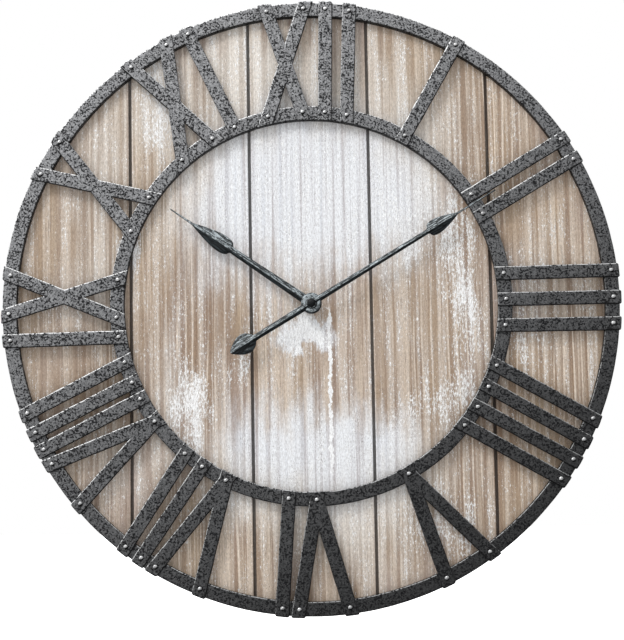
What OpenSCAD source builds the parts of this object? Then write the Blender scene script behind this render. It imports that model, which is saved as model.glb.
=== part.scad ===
// Wall clock: iron hoops and strap numerals on a planked dial, with a quartz movement.
// Front faces -Y, +Z is up. The origin is the centre of the keyhole entry in the hanger plate.

/* [Dial] */
// Outer diameter of the outer hoop
outer_hoop_d = 607; // [560:1:660]
// Outer diameter of the inner hoop
inner_hoop_d = 396; // [370:1:420]
// Radial width of both hoops
hoop_w = 14; // [12:0.5:16]
// How far the hoops stand off the planks
hoop_h = 8; // [7:0.5:12]
// Sheet thickness of the pressed hoops
hoop_t = 1.2; // [0.8:0.1:1.6]
// Thickness of the planks
plank_t = 11; // [9:0.5:15]
// Distance from one plank to the next
plank_pitch = 118.6; // [110:0.2:125]
// Width of the groove between planks
groove_w = 3; // [1.5:0.1:4]
// Height of a batten, up the back of the dial
batten_h = 45; // [35:1:60]

/* [Numerals] */
// Width of a numeral strap
strap_w = 13.8; // [11:0.2:16]
// Thickness of a numeral strap
strap_t = 2; // [1.6:0.1:2.6]
// Width of the chamfer along each strap's front edges
strap_bevel = 0.8; // [0.4:0.1:1]
// Diameter of a rivet's domed head
rivet_d = 5; // [4:0.1:6]
// Height of a rivet's domed head
rivet_h = 1.5; // [1:0.1:2]

/* [Hands] */
// Length of the minute hand from the axis
minute_len = 214; // [190:1:230]
// Length of the minute hand's tail from the axis
minute_tail = 93; // [80:1:100]
// Length of the hour hand from the axis
hour_len = 168; // [140:1:178]
// Thickness of each hand's blade
hand_t = 1.2; // [0.8:0.1:1.4]
// Radius of the disc at the root of each hand
hub_r = 10.2; // [8:0.1:11]
// Hour shown
show_hour = 10; // [0:1:11]
// Minute shown
show_minute = 9.87; // [0:0.01:59.99]

/* [Movement] */
// Width and height of the movement's housing
case_w = 56; // [56:0.5:60]
// Depth of the space behind the planks, which the battens fill
back_space = 18; // [18:0.5:24]
// Thickness of the rubber wall pads
pad_t = 2; // [2:0.5:4]
// Module of the motion work and of the seconds wheel
coarse_m = 0.35; // [0.34:0.005:0.36]
// Module of the centre wheel and of the intermediate wheel
fine_m = 0.3; // [0.29:0.005:0.31]

/* [Hidden] */
$fn = 48;

// Colours
iron_colour = [0.33, 0.34, 0.34];
hand_colour = [0.16, 0.19, 0.21];
plank_colour = [0.72, 0.62, 0.53];
batten_colour = [0.62, 0.48, 0.34];
steel_colour = [0.70, 0.71, 0.73];
brass_colour = [0.80, 0.66, 0.33];
case_colour = [0.09, 0.09, 0.10];
gear_colour = [0.90, 0.90, 0.86];

// Depths, from the wall (y = 0) to the front
batten_back = -pad_t;
plank_back = batten_back - back_space;
plank_front = plank_back - plank_t;
hoop_front = plank_front - hoop_h;
strap_front = hoop_front - strap_t;
hour_hand_back = strap_front + 1;
minute_hand_back = strap_front - 3.6;

// Radii
wood_r = outer_hoop_d / 2 - hoop_t - 2.3;
batten_z = wood_r / 2;
inner_in_r = inner_hoop_d / 2 - hoop_w;
outer_rivet_r = outer_hoop_d / 2 - 6.5;
inner_rivet_r = inner_hoop_d / 2 - 6.4;
shank_r = 1.5;

// The keyhole entry lies this far above the hands' axis
hang_h = batten_z + 5;

// One numeral each from I to XII. A strap is [inner offset, outer offset], both measured
// sideways from the numeral's middle line, clockwise positive, on circles of the two radii
// below. They stand for angles round the dial, so the numerals spread with the hoops.
// Straps in one inner list cross or meet, and are welded flush into one piece.
offset_in_r = 191.6;
offset_out_r = 297;
numerals = [
    [[[0, 0]]],
    [[[-11.8, -12.8]], [[10.9, 10.4]]],
    [[[-26.8, -28.1]], [[-1.1, -1.7]], [[24.6, 24.4]]],
    [[[-34.6, -34.7]], [[-12.4, -12.2]], [[10, 9.6]], [[31.9, 32]]],
    [[[4.3, -23.8], [4.3, 25.1]]],
    [[[-2, -32.4], [-2, 16.5]], [[25.1, 32.8]]],
    [[[-11.4, -40.3], [-11.4, 7.7]], [[15.4, 23.9]], [[36.1, 42.3]]],
    [[[-20.7, -52.1], [-20.7, -4.8]], [[5.5, 11.4]], [[23.3, 29.7]], [[44.2, 50]]],
    [[[-30, -31.9]], [[26.5, -5.5], [-10.8, 32.6]]],
    [[[14.2, -17.5], [-23.8, 19.5]]],
    [[[0.5, -32.2], [-36.1, 9.5]], [[25.1, 33.6]]],
    [[[-5.4, -39.9], [-39.7, -3]], [[16.8, 19]], [[38.4, 42.8]]]
];

// Battery bay, in the bottom of the housing
case_wall = 1.4;
battery_r = 7.25;
battery_z = -case_w / 2 + case_wall + battery_r + 0.15;
bay_wall_z = battery_z + battery_r + 0.15;
bay_wall_t = 1.2;

// Pivot points of the gear train, seen from the front, from the hands' axis
addendum = 0.8;
motion_dist = coarse_m * (12 + 36) / 2;
third_dist = fine_m * (64 + 8) / 2;
inter_dist = coarse_m * (40 + 8) / 2;
rotor_dist = fine_m * (48 + 8) / 2;
// The motion wheel stays just above the battery bay's wall
motion_wheel_r = coarse_m * (36 / 2 + addendum);
motion_dir = asin((bay_wall_z + bay_wall_t + 1.15 + motion_wheel_r) / motion_dist);
knob_dir = -20;
third_dir = 150;
inter_dir = 45;
rotor_dir = 70;
function polar(r, a) = [r * cos(a), r * sin(a)];
motion_at = polar(motion_dist, motion_dir);
knob_at = motion_at + polar(motion_dist, knob_dir);
third_at = polar(third_dist, third_dir);
inter_at = polar(inter_dist, inter_dir);
rotor_at = inter_at + polar(rotor_dist, rotor_dir);
hour_m = 2 * motion_dist / (10 + 40);
seconds_m = 2 * third_dist / (60 + 8);

// Layers of the movement
case_front = plank_back + 1;
inside_front = case_front + case_wall;
cover_t = 1.2;
cover_front = case_front + 14.3;
in_half = case_w / 2 - case_wall;
hour_layer = inside_front + 0.3;
motion_layer = hour_layer + 1.2;
centre_layer = motion_layer + 1.5;
third_layer = centre_layer + 1.6;
seconds_layer = third_layer + 2;
inter_layer = seconds_layer + 2;
wheel_t = 0.8;
plate_layer = centre_layer + wheel_t + 0.3;
stator_layer = third_layer + wheel_t + 0.3;
board_back = cover_front - 1.9;
battery_y = inside_front + battery_r + 0.1;
coil_z = in_half - 4.8;
fit = 0.06;

// Shafts and tubes on the hands' axis
seconds_r = 0.5;
minute_r = 1.6;
hour_r = 2.4;
bush_r = 4;
minute_front = minute_hand_back - hand_t - 3.4;
hour_front = hour_hand_back - hand_t - 0.6;
nut_t = 2.5;
washer_t = 0.8;

// ---- helpers ----

// Moves a piece drawn from the hands' axis to the part's origin
module dial() {
    translate([0, -batten_back, -hang_h]) children();
}

// A flat shape seen from the front, from y_back towards the front by t
module plate(y_back, t) {
    translate([0, y_back, 0]) rotate([90, 0, 0]) linear_extrude(t) children();
}

// A round bar or hole along Y at a point seen from the front
module rod(at, y_back, t, r) {
    translate([at[0], y_back, at[1]]) rotate([90, 0, 0]) cylinder(h = t, r = r);
}

// A ring-shaped bar along Y
module tube(at, y_back, t, r, bore) {
    difference() {
        rod(at, y_back, t, r);
        rod(at, y_back + 1, t + 2, bore);
    }
}

// A body of revolution about the Y axis, its outline given as [radius, -y]
module turned(outline) {
    rotate([90, 0, 0]) rotate_extrude($fn = 96) polygon(outline);
}

// A rounded rectangle, seen from the front
module rounded(w, h, r) {
    square([w - 2 * r, h], center = true);
    square([w, h - 2 * r], center = true);
    for (x = [-1, 1], y = [-1, 1]) translate([x * (w / 2 - r), y * (h / 2 - r)]) circle(r);
}

// Involute gear teeth
pressure = 28;
dedendum = 1.1;
backlash = 0.12;
function inv(a) = tan(a) * 180 / PI - a;
function half_tooth(n, x) = 90 / n * (1 - backlash) + inv(pressure)
    - inv(acos(min(1, n * cos(pressure) / 2 / x)));
function flank_start(n) = max(n * cos(pressure) / 2, n / 2 - dedendum);
function flank(n, steps) = [
    for (i = [0 : steps])
        let (x = flank_start(n) + i / steps * (n / 2 + addendum - flank_start(n)))
        [x, half_tooth(n, x)]
];
function one_tooth(n, steps) = let (f = flank(n, steps), root = n / 2 - dedendum) concat(
    root < f[0][0] ? [[root, -f[0][1]]] : [],
    [for (p = f) [p[0], -p[1]]],
    [for (i = [len(f) - 1 : -1 : 0]) f[i]],
    root < f[0][0] ? [[root, f[0][1]]] : []
);
module gear(n, m, phase = 0) {
    steps = n < 20 ? 4 : 2;
    polygon([
        for (k = [0 : n - 1]) for (p = one_tooth(n, steps)) polar(m * p[0], phase + k * 360 / n + p[1])
    ]);
}
// The direction of a tooth on gear b, which meshes with gear a and lies at direction dir from it
function mesh_phase(na, phase_a, nb, dir) = dir + 180 - (180 - na * (dir - phase_a)) / nb;

// ---- dial ----

module plank(i) {
    mid = (i - 3) * plank_pitch;
    left = i == 1 ? -wood_r - 1 - mid : -(plank_pitch - groove_w) / 2;
    right = i == 5 ? wood_r + 1 - mid : (plank_pitch - groove_w) / 2;
    lap = groove_w + 3;
    half_t = plank_t / 2;
    color(plank_colour) dial() difference() {
        intersection() {
            translate([mid, 0, -wood_r]) linear_extrude(2 * wood_r) polygon([
                [left, plank_front],
                [right, plank_front],
                [right, plank_front + half_t],
                [right + lap, plank_front + half_t],
                [right + lap, plank_back],
                [left + (i == 1 ? 0 : lap + 0.2), plank_back],
                [left + (i == 1 ? 0 : lap + 0.2), plank_back - half_t],
                [left, plank_back - half_t]
            ]);
            rod([0, 0], plank_back + 1, plank_t + 2, wood_r);
        }
        batten_screw_shapes(i);
        hoop_screw_shanks();
        rod([0, 0], plank_back + 1, plank_t + 2, bush_r + 1);
    }
}

// Where the batten screws stand, two in each plank and batten: [x, z from the batten's middle].
// Each inner plank's pair stands near its edges, and each end plank's pair one above the other.
function end_screw_x() = (batten_half() + 1.5 * plank_pitch + groove_w / 2) / 2;
function screw_at(i) = i == 1 || i == 5 ? [for (s = [-1, 1]) [sign(i - 3) * end_screw_x(), s * batten_h / 4]]
    : [for (s = [-1, 1]) [(i - 3) * plank_pitch + s * (plank_pitch / 2 - 21), s * batten_h / 6]];
function batten_half() = sqrt(pow(wood_r, 2) - pow(batten_z + batten_h / 2, 2)) - 14;
screw_r = 2;
screw_len = back_space + plank_t - 2.5;

module batten_screw(at) {
    translate([at[0], batten_back, at[1]]) turned([
        [0, 0], [4, 0], [screw_r, 2.4], [screw_r, screw_len - 3], [0, screw_len]
    ]);
}
module batten_screw_shapes(i) {
    for (p = screw_at(i), s = [-1, 1]) batten_screw([p[0], s * batten_z + p[1]]);
}
module batten(s) {
    color(batten_colour) dial() difference() {
        translate([-batten_half(), plank_back, s * batten_z - batten_h / 2])
            cube([2 * batten_half(), back_space, batten_h]);
        for (i = [1 : 5]) batten_screw_shapes(i);
        for (p = stud_points) rod(p, batten_back + 1, back_space + 2, 4.5);
        if (s > 0) hanger_pocket();
        if (s > 0) hanger_screw_shapes();
    }
}
module batten_screws() {
    color(steel_colour) dial() for (i = [1 : 5]) batten_screw_shapes(i);
}

// ---- hoops ----

// A pressed channel, open at the back. The outer hoop's rim laps the edge of the planks.
module hoop(outer_r, rim_lap) {
    inner_r = outer_r - hoop_w;
    turned([
        [inner_r, -plank_front],
        [inner_r, -hoop_front - 0.6],
        [inner_r + 0.6, -hoop_front],
        [outer_r - 0.6, -hoop_front],
        [outer_r, -hoop_front - 0.6],
        [outer_r, -plank_front - rim_lap],
        [outer_r - hoop_t, -plank_front - rim_lap],
        [outer_r - hoop_t, -hoop_front - hoop_t],
        [inner_r + hoop_t, -hoop_front - hoop_t],
        [inner_r + hoop_t, -plank_front]
    ]);
}
module outer_hoop() {
    color(iron_colour) dial() difference() {
        hoop(outer_hoop_d / 2, 6);
        rivet_holes(1);
    }
}
module inner_hoop() {
    color(iron_colour) dial() difference() {
        hoop(inner_hoop_d / 2, 0);
        rivet_holes(0);
    }
}

// Studs stand inside the hoops, between the numerals, and take screws from the back
outer_stud_r = outer_hoop_d / 2 - 9;
inner_stud_r = inner_hoop_d / 2 - hoop_w / 2;
function clock_point(r, a) = [r * sin(a), r * cos(a)];
stud_points = concat(
    [for (k = [0 : 5]) clock_point(outer_stud_r, 15 + 60 * k)],
    [for (k = [0 : 3]) clock_point(inner_stud_r, 15 + 90 * k)]
);
stud_h = hoop_h - hoop_t;
hoop_screw_len = plank_t + stud_h - 2;
module hoop_screw_shanks() {
    for (p = stud_points) rod(p, plank_back, hoop_screw_len, shank_r);
}
module hoop_studs() {
    color(steel_colour) dial() for (p = stud_points) difference() {
        rod(p, plank_front, stud_h, 3.5);
        rod(p, plank_front + 1, hoop_screw_len - plank_t + 1, shank_r);
    }
}
module hoop_screws() {
    color(steel_colour) dial() for (p = stud_points) translate([p[0], plank_back, p[1]]) turned([
        [0, -2], [2.4, -2], [3.3, -1.2], [3.3, 0],
        [shank_r, 0], [shank_r, hoop_screw_len], [0, hoop_screw_len]
    ]);
}

// ---- numerals ----

function strap_in(s) = clock_point(inner_rivet_r, asin(s[0] / offset_in_r));
function strap_out(s) = clock_point(outer_rivet_r, asin(s[1] / offset_out_r));

// The ring that the straps' ends are cut to, a little past each hoop's free edge
numeral_in_r = inner_in_r - 0.6;
numeral_out_r = outer_hoop_d / 2 + 1.5;
module numeral_ring() {
    turned([
        [numeral_in_r, -hoop_front],
        [numeral_in_r, strap_t - strap_bevel - hoop_front],
        [numeral_in_r + strap_bevel, -strap_front],
        [numeral_out_r - strap_bevel, -strap_front],
        [numeral_out_r, strap_t - strap_bevel - hoop_front],
        [numeral_out_r, -hoop_front]
    ]);
}

// A strap with chamfered front edges, through its two rivets and well past both
module strap(s) {
    a = strap_in(s);
    d = strap_out(s) - a;
    past = 1.5 * hoop_w;
    lean = atan2(-d[0], d[1]);
    w = strap_w / 2;
    translate([a[0], hoop_front, a[1]]) rotate([0, -lean, 0]) translate([0, 0, -past])
        linear_extrude(norm(d) + 2 * past) polygon([
            [-w, 0], [-w, strap_bevel - strap_t], [strap_bevel - w, -strap_t],
            [w - strap_bevel, -strap_t], [w, strap_bevel - strap_t], [w, 0]
        ]);
}
module numeral(n) {
    color(iron_colour) dial() rotate([0, 30 * n, 0]) difference() {
        for (piece = numerals[n - 1]) for (s = piece) intersection() {
            strap(s);
            numeral_ring();
        }
        for (piece = numerals[n - 1]) for (s = piece) {
            rod(strap_in(s), hoop_front + 1, strap_t + 2, shank_r);
            rod(strap_out(s), hoop_front + 1, strap_t + 2, shank_r);
        }
    }
}

// ---- rivets ----

// All rivet points on one hoop: side 0 is the inner hoop, side 1 the outer. Straps that meet
// in a V share their inner rivet.
function strap_end(s, side) = side == 0 ? strap_in(s) : strap_out(s);
function piece_points(piece, side) = len(piece) > 1 && piece[0][side] == piece[1][side]
    ? [strap_end(piece[0], side)] : [for (s = piece) strap_end(s, side)];
module at_rivets(side) {
    for (n = [1 : 12]) rotate([0, 30 * n, 0])
        for (piece = numerals[n - 1]) for (p = piece_points(piece, side))
            translate([p[0], 0, p[1]]) children();
}
module rivet_holes(side) {
    at_rivets(side) rod([0, 0], hoop_front + hoop_t + 1, hoop_t + 2, shank_r);
}
module rivet() {
    dome = [for (a = [0 : 15 : 90]) [rivet_d / 2 * cos(a), -strap_front + rivet_h * sin(a)]];
    back = -hoop_front - hoop_t;
    turned(concat(
        [[0, back - 0.8], [2.2, back - 0.8], [2.2, back], [shank_r, back], [shank_r, -strap_front]], dome
    ));
}
module outer_rivets() {
    color(steel_colour) dial() at_rivets(1) rivet();
}
module inner_rivets() {
    color(steel_colour) dial() at_rivets(0) rivet();
}

// ---- hanger and pads ----

plate_t = 1.5;
key_r = 4.5;
slot_r = 2.2;
slot_up = 12;
hanger_w = 22;
hanger_h = 42;
pad_x = 1.52 * plank_pitch;
module keyhole() {
    translate([0, hang_h]) circle(key_r);
    translate([-slot_r, hang_h]) square([2 * slot_r, slot_up]);
    translate([0, hang_h + slot_up]) circle(slot_r);
}
module hanger_pocket() {
    plate(batten_back, plate_t) translate([0, batten_z]) rounded(hanger_w, hanger_h, 3);
    plate(batten_back - plate_t, 8) translate([0, hang_h + 4.5]) rounded(13, 22, 5);
}
module hanger_plate() {
    color(steel_colour) dial() difference() {
        plate(batten_back, plate_t) translate([0, batten_z]) rounded(hanger_w, hanger_h, 3);
        plate(batten_back + 1, plate_t + 2) keyhole();
        hanger_screw_shapes();
    }
}
module hanger_screw_shapes() {
    for (x = [-6, 6]) translate([x, batten_back, batten_z - 15]) turned([
        [0, 0], [3, 0], [shank_r, 1.4], [shank_r, 12], [0, 14]
    ]);
}
module hanger_screws() {
    color(steel_colour) dial() hanger_screw_shapes();
}
module wall_pads() {
    color([0.08, 0.08, 0.08]) dial() for (x = [-1, 1], z = [-1, 1])
        translate([x * pad_x, 0, z * batten_z]) turned([
            [0, 0], [7.5, 0], [8, 0.5], [8, pad_t], [0, pad_t]
        ]);
}

// ---- movement: fixed pieces ----

// A bar along Y between a front and a rear depth
module bar(at, y_front, y_rear, r) {
    rod(at, y_rear, y_rear - y_front, r);
}
// A flat shape between a front and a rear depth
module slab(y_front, y_rear) {
    plate(y_rear, y_rear - y_front) children();
}

pivot_r = 0.4;
arbor_r = 0.65;
knob_shaft_r = 1.5;
post_r = 0.8;
boss_r = 1.4;
third_boss_h = 2;
rotor_boss_h = 3.4;
cover_boss_h = 2.5;
plate_right = in_half - 1;
plate_posts = [[plate_right - 1.6, 6], [plate_right - 1.6, -8.4], [10, 9.3]];
stator_posts = [[-14.75, in_half - 4.1], [15.75, 12.2]];
board_posts = [[2.2 - in_half, 10], [2.2 - in_half, 20]];
board_t = 0.8;

module movement_housing() {
    color(case_colour) dial() difference() {
        union() {
            difference() {
                slab(case_front, cover_front) rounded(case_w, case_w, 3);
                slab(inside_front, cover_front + 1) square(2 * in_half, center = true);
            }
            slab(inside_front - 0.5, cover_front)
                translate([-in_half + 0.8, bay_wall_z]) square([2 * in_half - 1.6, bay_wall_t]);
            bar(third_at, inside_front - 0.5, inside_front + third_boss_h, boss_r);
            bar(rotor_at, inside_front - 0.5, inside_front + rotor_boss_h, boss_r);
            bar(knob_at, inside_front - 0.5, inside_front + 0.9, boss_r);
            bar(motion_at, inside_front - 0.5, motion_layer + wheel_t + 0.3, post_r);
            for (p = plate_posts) bar(p, inside_front - 0.5, plate_layer, 1.2);
            for (p = stator_posts) bar(p, inside_front - 0.5, stator_layer, 1.2);
            for (p = board_posts) bar(p, inside_front - 0.5, board_back - board_t, 1);
        }
        bar([0, 0], case_front - 1, inside_front + 1, bush_r + 0.6);
        bar(third_at, inside_front + 0.4, 0, pivot_r + fit);
        bar(rotor_at, inside_front + 0.8, 0, pivot_r + fit);
        bar(knob_at, inside_front - 0.4, 0, pivot_r + fit);
    }
}
module movement_cover() {
    rear = cover_front + cover_t;
    low = bay_wall_z;
    color(case_colour) dial() difference() {
        union() {
            slab(cover_front, rear) intersection() {
                rounded(case_w, case_w, 3);
                translate([-case_w, low]) square([2 * case_w, case_w]);
            }
            for (p = [[0, 0], third_at, inter_at, rotor_at])
                bar(p, cover_front - cover_boss_h, cover_front + 0.5, boss_r);
        }
        for (p = [[0, 0], third_at, inter_at, rotor_at])
            bar(p, cover_front - cover_boss_h - 1, cover_front - 0.1, pivot_r + fit);
        bar(knob_at, cover_front - 1, rear + 1, knob_shaft_r + fit);
    }
}
module middle_plate() {
    color([0.75, 0.75, 0.72]) dial() difference() {
        slab(plate_layer, plate_layer + 0.8)
            polygon([[2.1, -9.8], [plate_right, -9.8], [plate_right, 10.8], [8.5, 10.8], [2.1, 8]]);
        bar(inter_at, plate_layer - 1, plate_layer + 2, pivot_r + fit);
        bar(knob_at, plate_layer - 1, plate_layer + 2, knob_shaft_r + 0.2);
    }
}
module threaded_bush() {
    color(brass_colour) dial() difference() {
        union() {
            bar([0, 0], case_front, inside_front, bush_r + 0.6);
            bar([0, 0], plank_front - washer_t - nut_t - 1.2, case_front, bush_r);
        }
        bar([0, 0], plank_front - 10, 0, hour_r + fit);
    }
}
module gasket() {
    color([0.06, 0.06, 0.06]) dial() tube([0, 0], case_front, case_front - plank_back, 14, bush_r);
}
module washer() {
    color(brass_colour) dial() tube([0, 0], plank_front, washer_t, 8.5, bush_r);
}
module hex_nut() {
    color(brass_colour) dial() difference() {
        translate([0, plank_front - washer_t, 0]) rotate([90, 0, 0]) cylinder(h = nut_t, r = 6.9, $fn = 6);
        bar([0, 0], plank_front - 10, plank_front, bush_r);
    }
}

// ---- movement: battery and electrics ----

battery_left = -25.3;
battery_right = 25.2;
module battery() {
    color([0.20, 0.42, 0.28]) dial() translate([0, battery_y, battery_z]) rotate([0, 90, 0])
        rotate_extrude() polygon([
            [0, battery_left], [2.75, battery_left], [2.75, battery_left + 1],
            [battery_r - 0.4, battery_left + 1], [battery_r, battery_left + 1.4],
            [battery_r, battery_right - 0.4], [battery_r - 0.4, battery_right], [0, battery_right]
        ]);
}
strip_t = 0.4;
strip_front = battery_y - 2.5;
module positive_contact() {
    color(steel_colour) dial() {
        translate([-in_half, strip_front, battery_z - 4]) cube([strip_t, 5, board[1] + 11 - battery_z]);
        translate([-in_half, board_back - board_t - strip_t, board[1] + 4]) cube([3, strip_t, 3]);
        translate([-in_half, battery_y, battery_z]) rotate([0, 90, 0])
            cylinder(h = battery_left + in_half - 0.05, r1 = 1.8, r2 = 1.2);
    }
}
module negative_contact() {
    top = in_half - strip_t;
    tab_x = 5.6 - in_half;
    tab_z = in_half - 3.6;
    color(steel_colour) dial() {
        translate([top, strip_front, battery_z - 4]) cube([strip_t, 5, in_half - battery_z + 4]);
        translate([tab_x, strip_front + 2, top]) cube([top - tab_x + strip_t, 3, strip_t]);
        translate([tab_x, strip_front + 2, tab_z]) cube([3, board_back - board_t - strip_front - 2, strip_t]);
        translate([tab_x, strip_front + 2, tab_z]) cube([3, strip_t, top - tab_z + strip_t]);
        translate([top + strip_t, battery_y, battery_z]) rotate([0, -90, 0])
            cylinder(h = in_half - battery_right - 0.05, r1 = 3.2, r2 = 2);
    }
}
// Left edge, lower edge, width and height
board = [1.1 - in_half, 8, 19.5, in_half - 1.2 - 8];
module circuit_board() {
    color([0.10, 0.34, 0.18]) dial()
        slab(board_back - board_t, board_back) translate([board[0], board[1]]) square([board[2], board[3]]);
}
module chip_blob() {
    color([0.03, 0.03, 0.03]) dial()
        translate([board[0] + 8.5, board_back, board[1] + 7]) rotate([180, 0, 0]) turned([
            [0, 0], [3, 0], [2.6, 0.6], [1.6, 1], [0, 1.1]
        ]);
}
module quartz_crystal() {
    color(steel_colour) dial() translate([board[0] + 4.5, board_back - board_t - 1, board[1] + 3])
        cylinder(h = 6, r = 1);
}
stator_left = -16.5;
stator_right = 17.5;
leg_w = 3.5;
stator_low = 10.2;
module stator() {
    color([0.45, 0.44, 0.42]) dial() slab(stator_layer, stator_layer + 0.8) difference() {
        union() {
            translate([stator_left, stator_low]) square([stator_right - stator_left, 7.4]);
            for (x = [stator_left, stator_right - leg_w]) translate([x, stator_low])
                square([leg_w, coil_z + 2 - stator_low]);
        }
        translate(rotor_at) circle(3);
    }
}
coil_from = stator_left + leg_w;
coil_to = stator_right - leg_w;
module coil_core() {
    color([0.45, 0.44, 0.42]) dial() translate([coil_from, stator_layer, coil_z - 1])
        cube([coil_to - coil_from, 0.8, 2]);
}
coil_y = stator_layer + 0.4;
module along_coil(from, to, w, h) {
    translate([from, coil_y - h / 2, coil_z - w / 2]) cube([to - from, h, w]);
}
module coil_bobbin() {
    color([0.85, 0.84, 0.78]) dial() difference() {
        union() {
            along_coil(coil_from + 0.4, coil_from + 1.4, 6.8, 6.8);
            along_coil(coil_to - 1.4, coil_to - 0.4, 6.8, 6.8);
            along_coil(coil_from + 0.4, coil_to - 0.4, 3, 1.8);
        }
        along_coil(coil_from, coil_to, 2, 0.8);
    }
}
module coil_winding() {
    color([0.72, 0.33, 0.16]) dial() difference() {
        translate([coil_from + 1.4, coil_y, coil_z]) rotate([0, 90, 0])
            cylinder(h = coil_to - coil_from - 2.8, r = 3);
        along_coil(coil_from, coil_to, 3, 1.8);
    }
}

// ---- movement: gear train ----

module gear_at(at, y_front, t, n, m, phase = 0) {
    slab(y_front, y_front + t) translate(at) gear(n, m, phase);
}
shoulder = cover_front - cover_boss_h - 0.2;
module rear_pivot(at, from) {
    bar(at, from, shoulder, arbor_r);
    bar(at, shoulder - 0.5, cover_front - 0.3, pivot_r);
}

module rotor() {
    magnet_front = stator_layer - 1.1;
    color([0.12, 0.12, 0.13]) dial() {
        bar(rotor_at, inside_front + 2, magnet_front, pivot_r);
        bar(rotor_at, inside_front + rotor_boss_h + 0.2, magnet_front + 0.5, arbor_r);
        bar(rotor_at, magnet_front, stator_layer + 1.3, 2.4);
        gear_at(rotor_at, inter_layer - 0.5, 1.8, 8, fine_m, mesh_phase(48, 0, 8, rotor_dir));
        rear_pivot(rotor_at, stator_layer + 1);
    }
}
module intermediate_wheel() {
    color(gear_colour) dial() {
        bar(inter_at, plate_layer + 0.1, plate_layer + 1.4, pivot_r);
        bar(inter_at, plate_layer + 1, seconds_layer, arbor_r);
        gear_at(inter_at, seconds_layer - 0.4, 1.5, 8, coarse_m, mesh_phase(40, 0, 8, inter_dir));
        gear_at(inter_at, inter_layer, wheel_t, 48, fine_m);
        rear_pivot(inter_at, seconds_layer);
    }
}
module seconds_wheel() {
    color(gear_colour) dial() {
        bar([0, 0], minute_front + 0.8, third_layer, seconds_r);
        gear_at([0, 0], third_layer - 0.3, 1.5, 8, seconds_m, mesh_phase(60, 0, 8, third_dir + 180));
        gear_at([0, 0], seconds_layer, wheel_t, 40, coarse_m);
        rear_pivot([0, 0], third_layer);
    }
}
module third_wheel() {
    color(gear_colour) dial() {
        bar(third_at, inside_front + 0.6, inside_front + third_boss_h + 0.5, pivot_r);
        bar(third_at, inside_front + third_boss_h + 0.2, centre_layer, arbor_r);
        gear_at(third_at, centre_layer - 0.3, 1.6, 8, fine_m, mesh_phase(64, 0, 8, third_dir));
        gear_at(third_at, third_layer, wheel_t, 60, seconds_m);
        rear_pivot(third_at, centre_layer);
    }
}
centre_hub_r = 1.2;
module centre_wheel() {
    color(gear_colour) dial() difference() {
        union() {
            gear_at([0, 0], centre_layer, wheel_t, 64, fine_m);
            bar([0, 0], centre_layer - 0.4, centre_layer, 2);
        }
        bar([0, 0], centre_layer - 1, centre_layer + 2, centre_hub_r);
    }
}
module minute_arbor() {
    cannon_front = motion_layer - 0.1;
    cannon_rear = motion_layer + 1;
    color(brass_colour) dial() difference() {
        union() {
            bar([0, 0], minute_front, cannon_front, minute_r - 0.2);
            bar([0, 0], minute_hand_back - hand_t - 0.6, cannon_front, minute_r);
            gear_at([0, 0], cannon_front, cannon_rear - cannon_front, 12, coarse_m);
            bar([0, 0], cannon_front, centre_layer + wheel_t + 0.2, centre_hub_r);
        }
        bar([0, 0], minute_front - 1, 0, seconds_r + fit);
    }
}
motion_phase = mesh_phase(12, 0, 36, motion_dir);
module motion_wheel() {
    color(gear_colour) dial() difference() {
        union() {
            gear_at(motion_at, motion_layer, wheel_t, 36, coarse_m, motion_phase);
            gear_at(motion_at, hour_layer - 0.1, motion_layer - hour_layer + 0.3, 10, hour_m);
        }
        bar(motion_at, case_front, 0, post_r + fit);
    }
}
module hour_wheel() {
    color(brass_colour) dial() difference() {
        union() {
            gear_at([0, 0], hour_layer, wheel_t, 40, hour_m, mesh_phase(10, 0, 40, motion_dir + 180));
            bar([0, 0], hour_front, hour_layer + wheel_t, hour_r);
        }
        bar([0, 0], hour_front - 1, 0, minute_r + fit);
    }
}
module setting_knob() {
    rear = cover_front + cover_t;
    color([0.16, 0.16, 0.17]) dial() {
        bar(knob_at, inside_front + 0.1, motion_layer, pivot_r);
        gear_at(knob_at, motion_layer - 0.3, 1.4, 12, coarse_m, mesh_phase(36, motion_phase, 12, knob_dir));
        bar(knob_at, motion_layer + 1, rear + 0.4, knob_shaft_r);
        slab(rear + 0.2, rear + 2.2) translate(knob_at) difference() {
            circle(4.5);
            for (k = [0 : 11]) rotate(30 * k) translate([4.7, 0]) circle(0.6);
        }
    }
}

// ---- hands ----

// Half an outline of a spade leaf: [distance from the axis, half width]. A lower skew puts
// its widest part nearer the axis.
function leaf(from, to, w_from, w_max, w_to, skew = 0.6) = [
    for (u = [0 : 1 / 14 : 1.001])
        [from + (to - from) * u, w_from + (w_to - w_from) * u + (w_max - w_from) * sin(180 * pow(u, skew))]
];
// The whole outline of a hand's arm, from half outlines along it
module arm(half) {
    n = len(half);
    polygon(concat([for (p = half) [p[1], p[0]]], [for (i = [n - 1 : -1 : 0]) [-half[i][1], half[i][0]]]));
}
spine_w = 1.2;
spine_h = 0.5;
module spine(from, to) {
    polygon([[-spine_w, from], [spine_w, from], [spine_w * 0.6, to], [-spine_w * 0.6, to]]);
}
hour_bush_r = 4;
minute_bush_r = 3.2;

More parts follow.
